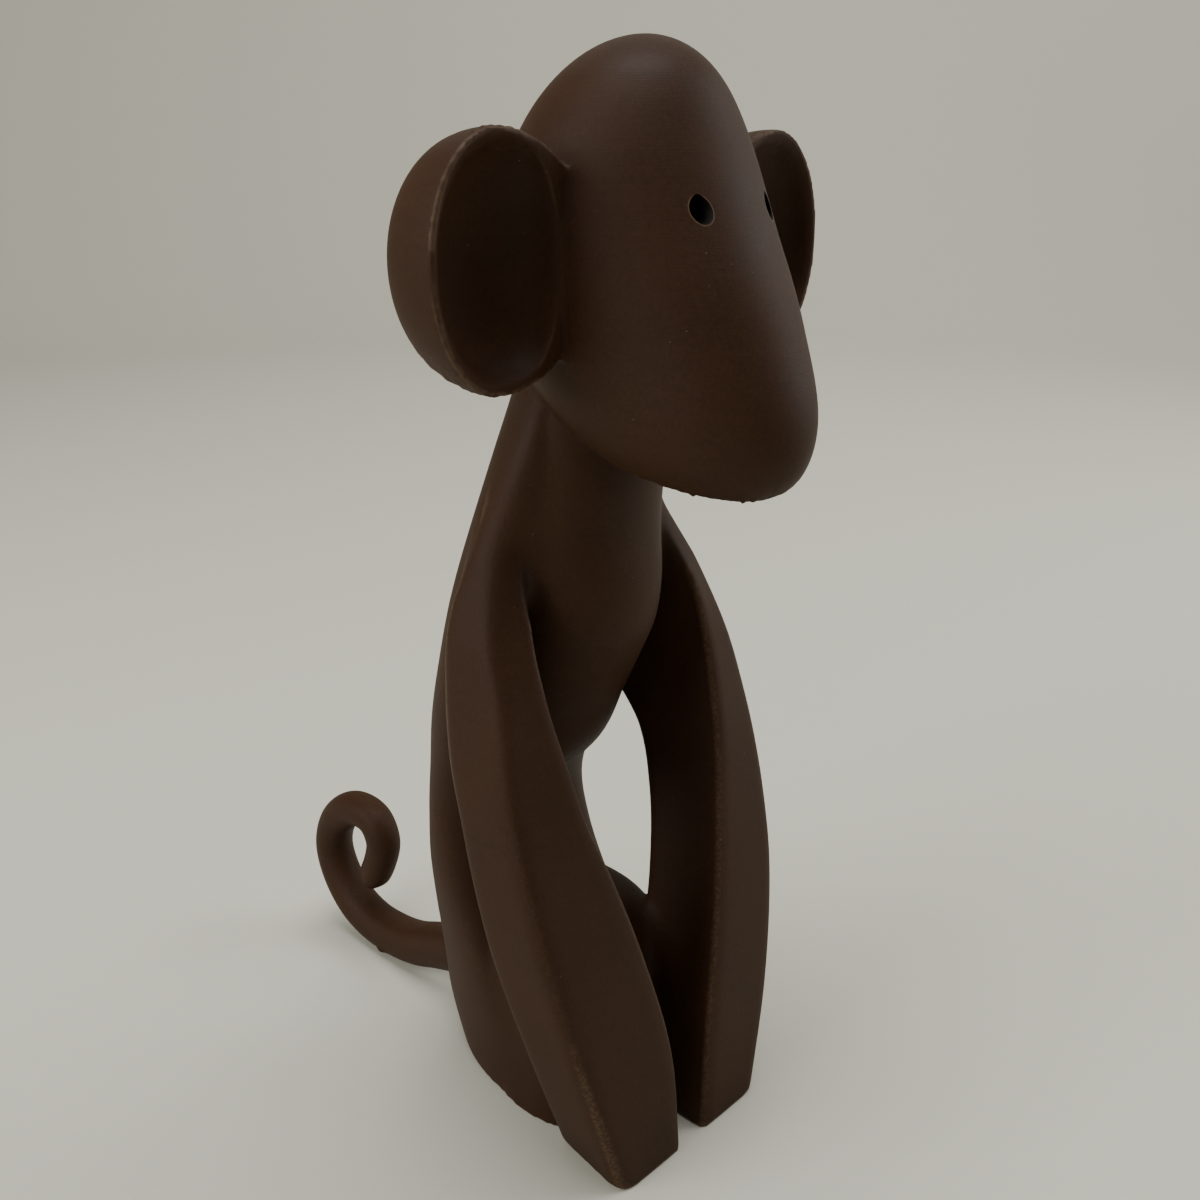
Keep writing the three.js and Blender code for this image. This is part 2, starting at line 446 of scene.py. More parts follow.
@dataclass
class Torso:
    """Neck, chest and the egg of the belly, which tapers down and back."""

    bottom: float = 5.2
    top: float = 13.0
    facets: Facets = Facets(112, 72)
    shape: Profile = Profile((
        # Height, centre y, half width, depth forward, depth back
        (5.2, 1.55, 0.6, 0.35, 0.6),
        (6.2, 0.9, 1.2, 0.75, 0.8),
        (7.2, 0.5, 1.36, 0.82, 1.0),
        (7.9, 0.3, 1.4, 1.0, 1.0),
        (8.6, 0.15, 1.42, 1.2, 1.0),
        (9.3, 0.05, 1.4, 1.22, 1.0),
        (10.2, -0.1, 1.35, 1.0, 1.0),
        (11.0, -0.25, 1.3, 0.9, 1.1),
        (12.0, -0.35, 1.2, 0.85, 1.15),
        (13.0, -0.5, 1.05, 0.8, 1.0),
    ))

    def place(self, point: Vector) -> Vector:
        """Turns a point of the unit drum into one of the torso.

        Args:
            point: The point.

        Returns:
            Its place on the torso.
        """
        height = lerp(self.bottom, self.top, point.z)
        centre, width, forward, back = self.shape.at(height)
        depth = forward if point.y < 0 else back
        return Vector((width * point.x, centre + depth * point.y, height)) * UNIT

    def solids(self) -> list[bmesh.types.BMesh]:
        """Builds the torso."""
        return [mould(drum(self.facets), self.place)]


@dataclass
class Back:
    """The curved slab from the neck down to the seat, narrower to the rear near the table."""

    top: float = 13.0
    seat_taper: float = 1.8
    seat_taper_height: float = 3
    facets: Facets = Facets(128, 96)
    shape: Profile = Profile((
        # Height, centre y, half width, depth forward, depth back
        (-0.2, 0.4, 1.36, 0.9, 2.35),
        (1.0, 0.45, 1.53, 0.9, 2.6),
        (2.0, 0.6, 1.63, 0.7, 2.45),
        (4.0, 1.55, 1.66, 0.7, 1.35),
        (5.0, 1.74, 1.64, 0.76, 0.98),
        (6.0, 1.55, 1.72, 0.9, 1.0),
        (7.0, 1.1, 1.93, 0.7, 1.27),
        (8.0, 0.7, 2.03, 0.6, 1.4),
        (9.0, 0.4, 2.02, 0.6, 1.42),
        (10.0, 0.15, 1.9, 0.6, 1.33),
        (11.0, -0.1, 1.66, 0.6, 1.3),
        (12.0, -0.25, 1.3, 0.6, 1.2),
        (13.0, -0.4, 1.05, 0.6, 1.0),
    ))

    def place(self, point: Vector) -> Vector:
        """Turns a point of the unit drum into one of the slab.

        Args:
            point: The point.

        Returns:
            Its place on the slab.
        """
        height = lerp(-BELOW_TABLE, self.top, point.z)
        centre, width, forward, back = self.shape.at(height)
        taper = lerp(self.seat_taper, 2, limit(height / self.seat_taper_height))
        ring_x, _, radius = ring_of(point)
        depth = forward * point.y if point.y < 0 else back * radius * superellipse(ring_x, taper)
        return Vector((width * point.x, centre + depth, height)) * UNIT

    def solids(self) -> list[bmesh.types.BMesh]:
        """Builds the slab."""
        return [mould(drum(self.facets), self.place)]


@dataclass
class Lap:
    """The block of the legs from the seat forward between the arms, with a rounded top."""

    front: float = -1.15
    table_back: float = 1.1
    top_back: float = 2.3
    wall_height: float = 1.9
    top_height: float = 3.85
    table_half_width: float = 1.46
    half_width: float = 1.55
    squareness: float = 3
    dome: float = 2.6
    facets: Facets = Facets(96, 64)

    def place(self, point: Vector) -> Vector:
        """Turns a point of the unit drum into one of the lap: walls below, the rounded top above.

        Args:
            point: The point.

        Returns:
            Its place on the lap.
        """
        wall = limit(2 * point.z)
        rise = limit(2 * point.z - 1)
        ring_x, ring_y, radius = ring_of(point)
        spread = radius * superellipse(rise, self.dome)
        x = spread * squared(ring_x, self.squareness)
        y = spread * squared(ring_y, self.squareness)
        back = lerp(self.table_back, self.top_back, rise)
        return Vector((
            lerp(self.table_half_width, self.half_width, wall) * x,
            lerp(self.front, back, (1 + y) / 2),
            lerp(-BELOW_TABLE, self.wall_height, wall) + (self.top_height - self.wall_height) * rise,
        )) * UNIT

    def solids(self) -> list[bmesh.types.BMesh]:
        """Builds the lap."""
        return [mould(drum(self.facets), self.place)]


@dataclass
class Arms:
    """Bowed four-sided bars with crisp edges, from the shoulders down to the table."""

    top: float = 12.0
    squareness: float = 8
    # Where the edges sink into the shoulders, and how far a share near one stays full and reaches
    edge_top: float = 11.0
    edge_samples: int = 80
    edge_full: float = 0.6
    edge_end: float = 1.6
    facets: Facets = Facets(96, 160)
    shape: Profile = Profile((
        # Height, then x and y of the outer front, inner front, outer rear and inner rear edges
        (-0.2, 1.62, -2.5, 0.3, -2.5, 1.36, -0.9, 0.3, -1.0),
        (2.0, 2.21, -2.32, 0.49, -2.42, 2.22, -1.04, 0.55, -0.8),
        (4.0, 2.62, -2.0, 0.96, -2.15, 2.62, -0.62, 0.99, -0.65),
        (5.2, 2.75, -1.7, 1.28, -1.88, 2.75, -0.4, 1.34, -0.32),
        (6.2, 2.78, -1.42, 1.57, -1.6, 2.78, -0.2, 1.62, 0.2),
        (7.0, 2.74, -1.18, 1.7, -1.38, 2.74, 0.02, 1.68, 0.9),
        (8.0, 2.6, -0.89, 1.82, -1.07, 2.6, 0.24, 1.6, 1.0),
        (9.0, 2.4, -0.46, 1.78, -0.75, 2.43, 0.35, 1.4, 1.0),
        (10.0, 1.97, -0.18, 1.4, -0.33, 2.03, 0.35, 1.1, 0.8),
        (11.0, 1.42, 0, 0.85, -0.1, 1.5, 0.3, 0.75, 0.6),
        (12.0, 0.85, 0, 0.55, -0.1, 0.9, 0.25, 0.5, 0.5),
    ))

    def place(self, point: Vector) -> Vector:
        """Turns a point of the unit drum into one of the monkey's left arm.

        Args:
            point: The point.

        Returns:
            Its place on the arm.
        """
        height = lerp(-BELOW_TABLE, self.top, point.z)
        edges = self.shape.at(height)
        outer_front, inner_front, outer_rear, inner_rear = zip(edges[0::2], edges[1::2])
        ring_x, ring_y, radius = ring_of(point)
        corner = squared(math.sqrt(0.5), self.squareness)
        outward = (1 + radius * squared(ring_x, self.squareness) / corner) / 2
        rearward = (1 + radius * squared(ring_y, self.squareness) / corner) / 2
        x, y = (
            lerp(
                lerp(inner_front[axis], outer_front[axis], outward),
                lerp(inner_rear[axis], outer_rear[axis], outward),
                rearward,
            )
            for axis in (0, 1)
        )
        return Vector((x, y, height)) * UNIT

    def solids(self) -> list[bmesh.types.BMesh]:
        """Builds both arms."""
        arm = mould(drum(self.facets), self.place)
        return [arm, mirrored(arm)]

    def near_edge(self, places: np.ndarray, edge: ArmEdge, reach: float) -> np.ndarray:
        """Tells which points lie by one edge of either arm.

        Args:
            places: Rows of x, y, z.
            edge: Which edge.
            reach: How wide a band counts as near. The share falls to 0 between edge_full and
                edge_end times this distance.

        Returns:
            One share for each row, 1 on the edge and 0 well away from it.
        """
        heights = np.linspace(0, self.edge_top, self.edge_samples)
        column = edge.value
        corners = np.array([self.shape.at(height)[column:column + 2] for height in heights]) * UNIT
        x, y = (np.interp(places[:, 2], heights * UNIT, corners[:, axis]) for axis in (0, 1))
        distance = np.hypot(np.abs(places[:, 0]) - x, places[:, 1] - y)
        share = ramp(distance, self.edge_end * reach, self.edge_full * reach)
        return np.where(places[:, 2] < heights[-1] * UNIT, share, 0.0)


@dataclass
class Ears:
    """Upright oval cups that face forward, with a thin lip round a smooth dish.

    Towards the head they are wider and run into it, so that the lip meets it in a straight crease.
    """

    centre: Place = (2.79, -1.38, 14.25)
    outer_half_width: float = 1.12
    inner_half_width: float = 1.6
    half_height: float = 1.6
    cup_depth: float = 1.55
    fullness: float = 2.4
    lip: float = 1.7 * MM
    dish_depth: float = 6 * MM
    dish_squareness: float = 2.7
    # The soft band of the inner lip, in half widths of the dish: where it starts and is full
    soft_from_outside: Span = (1.1, 1.02)
    soft_from_inside: Span = (0.6, 0.75)
    facets: Facets = Facets(160, 128)

    def place(self, point: Vector) -> Vector:
        """Turns a point of the unit ball into one of the left ear: its flat front, then its cup.

        Args:
            point: The point.

        Returns:
            Its place on the ear.
        """
        ring_x, ring_y, radius = ring_of(point)
        behind = max(0.0, point.z)
        spread = radius if point.z < 0 else superellipse(behind, self.fullness)
        half_width = self.inner_half_width if ring_x < 0 else self.outer_half_width
        return Vector((
            self.centre[0] + half_width * ring_x * spread,
            self.centre[1] + self.cup_depth * behind,
            self.centre[2] - self.half_height * ring_y * spread,
        )) * UNIT

    def solids(self) -> list[bmesh.types.BMesh]:
        """Builds both ears."""
        ear = mould(ball(self.facets), self.place)
        return [ear, mirrored(ear)]

    def near_inner_lip(self, places: np.ndarray) -> np.ndarray:
        """Tells which points lie where a lip runs softly into its dish.

        Args:
            places: Rows of x, y, z.

        Returns:
            One share for each row.
        """
        x, y, z = np.array(self.centre) * UNIT
        across = (np.abs(places[:, 0]) - x) / (self.outer_half_width * UNIT - self.lip)
        up = (places[:, 2] - z) / (self.half_height * UNIT - self.lip)
        reach = np.hypot(across, up)
        share = ramp(reach, *self.soft_from_outside) * ramp(reach, *self.soft_from_inside)
        return np.where(np.abs(places[:, 1] - y) < self.dish_depth, share, 0.0)

    def cuts(self) -> list[bmesh.types.BMesh]:
        """Builds what the two dishes take out: ovals that are squarer towards the head.

        Returns:
            One closed solid for each dish.
        """
        wide = self.outer_half_width * UNIT - self.lip
        high = self.half_height * UNIT - self.lip
        middle = Vector(self.centre) * UNIT

        def place(point: Vector) -> Vector:
            """Turns a point of the unit ball into one of the left dish.

            Args:
                point: The point.

            Returns:
                Its place on the dish.
            """
            spread = math.hypot(point.x, point.z)
            depth = self.dish_depth * point.y
            if point.x >= 0 or spread < 1e-6:
                return middle + Vector((wide * point.x, depth, high * point.z))
            across = squared(point.x / spread, self.dish_squareness)
            up = squared(point.z / spread, self.dish_squareness)
            return middle + Vector((wide * spread * across, depth, high * spread * up))

        dish = mould(ball(self.facets), place)
        return [dish, mirrored(dish)]


@dataclass
class Tail:
    """A round rope that lies on the table, rises and curls over until its tip rests on its root."""

    root_diameter: float = 9.4 * MM
    tip_diameter: float = 6.4 * MM
    flat: float = 0.6 * MM
    end_rounding: float = 6
    facets: Facets = Facets(48, 200)
    # Distance behind the origin and height above the stretch that lies on the table
    route: tuple[tuple[float, float], ...] = (
        (2.6, 0.8), (3.87, 0.37), (4.53, 0.12), (5.18, 0), (5.95, 0.01), (6.58, 0.24), (7.05, 0.73),
        (7.24, 1.33), (7.0, 2.0), (6.38, 2.46), (5.77, 2.44), (5.53, 2.06), (5.68, 1.5), (5.98, 0.98),
        (6.1, 0.75),
    )

    def solids(self) -> list[bmesh.types.BMesh]:
        """Builds the tail.

        Returns:
            The rope, as one closed solid.
        """
        rest_height = self.root_diameter / 2 - self.flat
        path = Path(tuple((y * UNIT, rest_height + z * UNIT) for y, z in self.route))
        read = path.reader()

        def place(point: Vector) -> Vector:
            """Turns a point of the unit ball into one of the tail.

            Args:
                point: The point.

            Returns:
                Its place on the tail.
            """
            along = 1 - math.acos(limit(point.z, -1, 1)) / math.pi
            centre, upward = read(along)
            ring_x, ring_y, radius = ring_of(point)
            end = math.sqrt(min(1.0, math.sin(math.pi * along) * self.end_rounding))
            thickness = lerp(self.root_diameter, self.tip_diameter, along) / 2
            spread = thickness * end if radius > 0 else 0.0
            return centre + upward * (ring_y * spread) - Vector((ring_x * spread, 0, 0))

        return [mould(ball(self.facets), place)]


class Solid:
    """A closed mesh that joins and cuts others."""

    def __init__(self, bm: bmesh.types.BMesh, name: str) -> None:
        """Takes over a form.

        Args:
            bm: The closed form, which is freed.
            name: Name for the object.
        """
        mesh = bpy.data.meshes.new(name)
        bm.to_mesh(mesh)
        bm.free()
        self.object = bpy.data.objects.new(name, mesh)
        bpy.context.scene.collection.objects.link(self.object)

    def apply(self, kind: str, **settings: object) -> None:
        """Runs one modifier and keeps its result as the mesh.

        Args:
            kind: The modifier's type.
            settings: Its values by name.
        """
        modifier = self.object.modifiers.new(kind.lower(), kind)
        for key, value in settings.items():
            setattr(modifier, key, value)
        depsgraph = bpy.context.evaluated_depsgraph_get()
        result = bpy.data.meshes.new_from_object(self.object.evaluated_get(depsgraph))
        self.object.modifiers.clear()
        old = self.object.data
        name = old.name
        self.object.data = result
        bpy.data.meshes.remove(old)
        result.name = name

    def work(self, tool: "Solid", operation: Operation) -> None:
        """Joins or cuts this solid with another, which is used up.

        Args:
            tool: The other solid.
            operation: What it does here.
        """
        self.apply("BOOLEAN", object=tool.object, operation=operation.value, solver="MANIFOLD")
        mesh = tool.object.data
        bpy.data.objects.remove(tool.object)
        bpy.data.meshes.remove(mesh)


class Skin:
    """A dense mesh as arrays, so that its surface can be measured and relaxed quickly."""

    def __init__(self, mesh: bpy.types.Mesh) -> None:
        """Reads a mesh.

        Args:
            mesh: The mesh, which store writes back to.
        """
        self.mesh = mesh
        self.count = len(mesh.vertices)
        places = np.empty(self.count * 3)
        ends = np.empty(len(mesh.edges) * 2, dtype=np.int64)
        mesh.vertices.foreach_get("co", places)
        mesh.edges.foreach_get("vertices", ends)
        self.places = places.reshape(-1, 3)
        self.start, self.end = ends.reshape(-1, 2).T
        self.degree = np.bincount(ends, minlength=self.count)

    def store(self) -> None:
        """Writes the places back to the mesh."""
        self.mesh.vertices.foreach_set("co", self.places.astype(np.float32).ravel())
        self.mesh.update()

    def normals(self) -> np.ndarray:
        """Stores the places and reads the normals that follow from them.

        Returns:
            One row for each vertex.
        """
        self.store()
        normals = np.empty(self.count * 3)
        self.mesh.vertex_normals.foreach_get("vector", normals)
        return normals.reshape(-1, 3)

    def spread(self, at_start: np.ndarray, at_end: np.ndarray) -> np.ndarray:
        """Averages two values of each edge at the vertices where they belong.

        Args:
            at_start: What each edge brings to its first vertex.
            at_end: What it brings to its second one.

        Returns:
            One number for each vertex.
        """
        total = np.bincount(self.start, at_start, self.count) + np.bincount(self.end, at_end, self.count)
        return total / self.degree

    def blur(self, values: np.ndarray, steps: int) -> np.ndarray:
        """Averages a value of the vertices with their neighbours.

        Args:
            values: One number for each vertex.
            steps: How often.

        Returns:
            The softened values.
        """
        for _ in range(steps):
            values = (values + self.spread(values[self.end], values[self.start])) / 2
        return values

    def bend(self, steps: int) -> np.ndarray:
        """Measures how the surface bends.

        Args:
            steps: How often the result is blurred.

        Returns:
            One number for each vertex, in 1 / mm, positive on edges and negative in grooves.
        """
        normals = self.normals()
        step = self.places[self.end] - self.places[self.start]
        turn = ((normals[self.end] - normals[self.start]) * step).sum(1) / (step * step).sum(1)
        return self.blur(self.spread(turn, turn), steps) * MM

    def relax(self, weights: np.ndarray, steps: int) -> None:
        """Draws vertices towards the middle of their neighbours.

        Args:
            weights: How strongly, one number from 0 to 1 for each vertex.
            steps: How often.
        """
        near = (weights[self.start] > 0) | (weights[self.end] > 0)
        ends = np.concatenate([self.start[near], self.end[near]])
        used, ends = np.unique(ends, return_inverse=True)
        start, end = ends.reshape(2, -1)
        places = self.places[used]
        degree = self.degree[used][:, None]
        pull = weights[used][:, None] / 2
        count = len(used)
        for _ in range(steps):
            sums = [
                np.bincount(start, column[end], count) + np.bincount(end, column[start], count)
                for column in places.T
            ]
            places += pull * (np.stack(sums, axis=1) / degree - places)
        self.places[used] = places


@dataclass(frozen=True)
class Blemish:
    """A spot where the printer left a bit of plastic.

    Args:
        place: Its middle on the surface.
        radius: How wide it is.
        height: How far it stands out.
    """

    place: Place
    radius: float
    height: float

    def raise_skin(self, skin: Skin, normals: np.ndarray) -> None:
        """Pushes the skin out at the spot.

        Args:
            skin: The skin, changed in place.
            normals: Its normals, one row for each vertex.
        """
        distance = np.linalg.norm(skin.places - np.array(self.place), axis=1)
        skin.places += normals * (np.exp(-((distance / self.radius) ** 2)) * self.height)[:, None]


def ear_top_bumps() -> tuple[Blemish, ...]:
    """Makes the row of small bumps where the last layers of the right ear closed."""
    row = (-30.9, -29.4, -28.2, -26.8, -25.3, -23.9)
    return tuple(Blemish((x * MM, -12.8 * MM, 158.2 * MM), 0.5 * MM, 0.22 * MM) for x in row)


@dataclass(frozen=True)
class Softening:
    """A place on both sides of the body where two forms run softly into each other.

    Args:
        middle: Its middle on the monkey's left side.
        reach: How far from there the softening fades out.
        steps: How strong each round is.
        rounds: How often it is repeated.
        hollows_only: Whether only grooves are filled, so that the edges beside them stay.
        full_share: Within this share of the reach, the softening is at its full strength.
        full_fill: How deep a groove is filled at full strength, as a bend in 1 / mm.
    """

    middle: Place
    reach: float
    steps: int
    rounds: int = 1
    hollows_only: bool = False
    full_share: float = 0.375
    full_fill: float = 0.05

    def ease(self, skin: Skin) -> None:
        """Relaxes the skin there.

        Args:
            skin: The skin, changed in place.
        """
        for _ in range(self.rounds):
            one_side = np.column_stack([np.abs(skin.places[:, 0]), skin.places[:, 1:]])
            distance = np.linalg.norm(one_side - np.array(self.middle), axis=1)
            share = ramp(distance, self.reach, self.full_share * self.reach)
            if self.hollows_only:
                share = share * ramp(-skin.bend(2), 0, self.full_fill)
            skin.relax(share, self.steps)


@dataclass
class Figure:
    """The whole figurine: its forms joined, cut and remeshed into one skin with a printer's marks."""

    voxel: float = 0.43 * MM
    triangles: int = 190_000
    smoothing_steps: int = 3
    ridge_reach: float = 1.8 * MM
    ridge_steps: int = 14
    seam_reach: float = 0.7 * MM
    seam_height: float = 0.13 * MM
    seam_top: float = 92 * MM
    seam_fade: float = 8 * MM
    # The pale lines of painted highlight on the arms: their reach, the bends that show them and where
    # they turn faint
    highlight_reach: float = 0.42 * MM
    outer_highlight_reach: float = 1.08 * MM
    outer_highlight_bends: Span = (0.15, 0.21)
    outer_highlight_heights: Span = (34 * MM, 24 * MM)
    outer_highlight_faint: float = 0.15
    eye_clearance: float = 2.2
    lip_steps: int = 40
    softenings: tuple[Softening, ...] = (
        # The shoulder and the pocket under it, the lap's seams with arm and seat, and the armpit
        Softening((15 * MM, -1 * MM, 104 * MM), 14 * MM, 110),
        Softening((14 * MM, -4 * MM, 97 * MM), 10 * MM, 24, 7, hollows_only=True),
        Softening((11 * MM, -6 * MM, 40 * MM), 13 * MM, 30, 12, hollows_only=True),
        Softening((15.5 * MM, 7 * MM, 15 * MM), 13 * MM, 150),
        Softening((15.5 * MM, 4 * MM, 67 * MM), 11 * MM, 24, 16, hollows_only=True),
    )
    crease_rounds: int = 7
    crease_steps: int = 14
    crease_low: float = 0.10
    crease_high: float = 0.25
    crease_top: float = 114 * MM
    crease_fade: float = 10 * MM
    scar_depth: float = 0.16 * MM
    scar_grain: float = 1.3 * MM
    scar_height: float = 30 * MM
    scar_droops: Span = (0.45, 0.8)
    scar_finer: float = 2.7
    sharp_angle: float = 50
    blemishes: tuple[Blemish, ...] = (
        Blemish((-4.5 * MM, -34.0 * MM, 112.3 * MM), 0.4 * MM, 0.6 * MM),
        Blemish((-7.8 * MM, -28.1 * MM, 112.7 * MM), 0.4 * MM, 0.35 * MM),
        Blemish((-3.2 * MM, -34.6 * MM, 112.3 * MM), 0.6 * MM, 0.3 * MM),
        Blemish((-29.3 * MM, -13.8 * MM, 126.6 * MM), 0.6 * MM, 0.35 * MM),
        Blemish((-3.6 * MM, 53.5 * MM, 1.6 * MM), 1.0 * MM, 0.5 * MM),
        *ear_top_bumps(),
    )
    head: Head = field(default_factory=Head)
    torso: Torso = field(default_factory=Torso)
    back: Back = field(default_factory=Back)
    lap: Lap = field(default_factory=Lap)
    arms: Arms = field(default_factory=Arms)
    ears: Ears = field(default_factory=Ears)
    tail: Tail = field(default_factory=Tail)

    def below_table(self) -> bmesh.types.BMesh:
        """Builds the block that is cut away under the table line.

        Returns:
            The block.
        """
        bm = bmesh.new()
        side = (FIGURE_HIGH - FIGURE_LOW).length
        bmesh.ops.create_cube(bm, size=side, matrix=Matrix.Translation((0, 0, -side / 2)))
        return bm

    def forms(self) -> Iterable[Form]:
        """Lists the forms in the order in which they are joined."""
        return (self.head, self.torso, self.back, self.lap, self.arms, self.ears, self.tail)

    def build(self) -> bpy.types.Object:
        """Builds the skin.

        Returns:
            The finished piece, without its material.
        """
        solids = [solid for form in self.forms() for solid in form.solids()]
        body = Solid(solids[0], "monkey_figurine_print")
        for index, solid in enumerate(solids[1:]):
            body.work(Solid(solid, f"form_{index}"), Operation.JOIN)
        for index, cut in enumerate([*self.ears.cuts(), self.below_table()]):
            body.work(Solid(cut, f"cut_{index}"), Operation.CUT)
        log.info("joined forms: %d faces", len(body.object.data.polygons))
        body.apply("REMESH", mode="VOXEL", voxel_size=self.voxel, adaptivity=0.0, use_smooth_shade=True)
        log.info("remeshed skin: %d faces", len(body.object.data.polygons))
        self.shape_skin(body.object.data)
        dense = 2 * len(body.object.data.polygons)
        body.apply("DECIMATE", decimate_type="COLLAPSE", ratio=min(1.0, self.triangles / dense))
        for index, hole in enumerate(self.head.eye_holes()):
            body.work(Solid(hole, f"eye_{index}"), Operation.CUT)
        self.mark_surface(body.object.data)
        return body.object

    def shape_skin(self, mesh: bpy.types.Mesh) -> None:
        """Softens the skin where the print is soft, and gives it the printer's marks.

        Args:
            mesh: The skin, changed in place.
        """
        skin = Skin(mesh)
        skin.relax(np.ones(skin.count), self.smoothing_steps)
        ridge = self.arms.near_edge(skin.places, ArmEdge.OUTER_FRONT, self.ridge_reach)
        skin.relax(ridge, self.ridge_steps)
        skin.relax(self.ears.near_inner_lip(skin.places), self.lip_steps)
        for softening in self.softenings:
            softening.ease(skin)
        self.fill_creases(skin)
        self.scar_overhangs(skin)
        normals = skin.normals()
        seam = self.near_seam(skin.places, self.seam_reach)
        skin.places += normals * (seam * self.seam_height)[:, None]
        for blemish in self.blemishes:
            blemish.raise_skin(skin, normals)
        skin.store()

    def near_seam(self, places: np.ndarray, reach: float) -> np.ndarray:
        """Tells which points lie on the printer's seam, up the inner front edges of the arms.

        Args:
            places: Rows of x, y, z.
            reach: How wide a band counts as near.

        Returns:
            One share for each row.
        """
        fade = ramp(places[:, 2], self.seam_top, self.seam_top - self.seam_fade)
        return self.arms.near_edge(places, ArmEdge.INNER_FRONT, reach) * fade

    def fill_creases(self, skin: Skin) -> None:
        """Rounds out the creases between the forms of the body, but not those about the head.

        Args:
            skin: The skin, changed in place.
        """
        for _ in range(self.crease_rounds):
            zone = ramp(skin.places[:, 2], self.crease_top, self.crease_top - self.crease_fade)
            crease = ramp(-skin.bend(1), self.crease_low, self.crease_high)
            skin.relax(skin.blur(crease * zone, 2), self.crease_steps)

    def scar_overhangs(self, skin: Skin) -> None:
        """Roughens the undersides that were printed on supports.

        Args:
            skin: The skin, changed in place.
        """
        normals = skin.normals()
        droop = ramp(-normals[:, 2], *self.scar_droops)
        for index in np.flatnonzero((droop > 0) & (skin.places[:, 2] > self.scar_height)):
            spot = Vector(skin.places[index]) / self.scar_grain
            grain = noise.noise(spot) + noise.noise(spot * self.scar_finer) / 2
            skin.places[index] += normals[index] * (grain * droop[index] * self.scar_depth)

    def mark_surface(self, mesh: bpy.types.Mesh) -> None:
        """Marks the sharp rims and stores how the surface bends, for the painted highlight on edges and
        painted shade in grooves.

        Args:
            mesh: The skin. It gets the attribute bend, positive on edges, in 1 / mm, and the
            attribute ridge, which is 1 along the edges of the arms that get pale lines of painted
            highlight.
        """
        mesh.polygons.foreach_set("use_smooth", [True] * len(mesh.polygons))
        mesh.set_sharp_from_angle(angle=math.radians(self.sharp_angle))
        skin = Skin(mesh)
        skin.places = np.clip(skin.places, np.array(FIGURE_LOW), np.array(FIGURE_HIGH))
        bend = np.where(self.head.off_eyes(skin.places) < self.eye_clearance, 0.0, skin.bend(1))
        # Pale lines of painted highlight along the outer front and outer rear edges and the seam
        outer = self.arms.near_edge(skin.places, ArmEdge.OUTER_FRONT, self.outer_highlight_reach)
        outer *= ramp(skin.blur(bend, 3), *self.outer_highlight_bends)
        outer *= np.maximum(ramp(skin.places[:, 2], *self.outer_highlight_heights), self.outer_highlight_faint)
        rear = self.arms.near_edge(skin.places, ArmEdge.OUTER_REAR, self.highlight_reach)
        ridge = np.maximum.reduce([outer, rear, self.near_seam(skin.places, self.highlight_reach)])
        for name, values in (("bend", bend), ("ridge", ridge)):
            attribute = mesh.attributes.new(name, "FLOAT", "POINT")
            attribute.data.foreach_set("value", values.astype(np.float32))


class Value:
    """A shader socket that takes part in sums, so that shader maths reads as Python."""

    def __init__(self, graph: "Graph", socket: bpy.types.NodeSocket) -> None:
        """Wraps a socket.

        Args:
            graph: The material's graph.
            socket: An output of one of its nodes.
        """
        self.graph = graph
        self.socket = socket

    def _math(self, operation: str, *others: "Term") -> "Value":
        """Adds one Math node with this value first."""
        return self.graph.math(operation, self, *others)

    def __add__(self, other: "Term") -> "Value":
        """Adds."""
        return self._math("ADD", other)

    def __radd__(self, other: "Term") -> "Value":
        """Adds to a number."""
        return self.graph.math("ADD", other, self)

    def __sub__(self, other: "Term") -> "Value":
        """Subtracts."""
        return self._math("SUBTRACT", other)

    def __rsub__(self, other: "Term") -> "Value":
        """Subtracts from a number."""
        return self.graph.math("SUBTRACT", other, self)

    def __mul__(self, other: "Term") -> "Value":
        """Multiplies."""
        return self._math("MULTIPLY", other)

    def __rmul__(self, other: "Term") -> "Value":
        """Multiplies a number."""
        return self.graph.math("MULTIPLY", other, self)

    def __truediv__(self, other: "Term") -> "Value":
        """Divides."""
        return self._math("DIVIDE", other)

    def __abs__(self) -> "Value":
        """Drops the sign."""
        return self._math("ABSOLUTE")

    def fraction(self) -> "Value":
        """Keeps what is after the point."""
        return self._math("FRACT")

    def between(self, low: float, high: float) -> "Value":
        """Rises smoothly from 0 at low to 1 at high.

        Args:
            low: Where the rise starts.
            high: Where it ends, which may be below low.

        Returns:
            The share, from 0 to 1.
        """
        return self.graph.node(
            "ShaderNodeMapRange", {"interpolation_type": "SMOOTHSTEP", "clamp": True},
            {"Value": self, "From Min": low, "From Max": high},
        )


Term = Union[Value, float]
Colour = tuple[float, float, float]


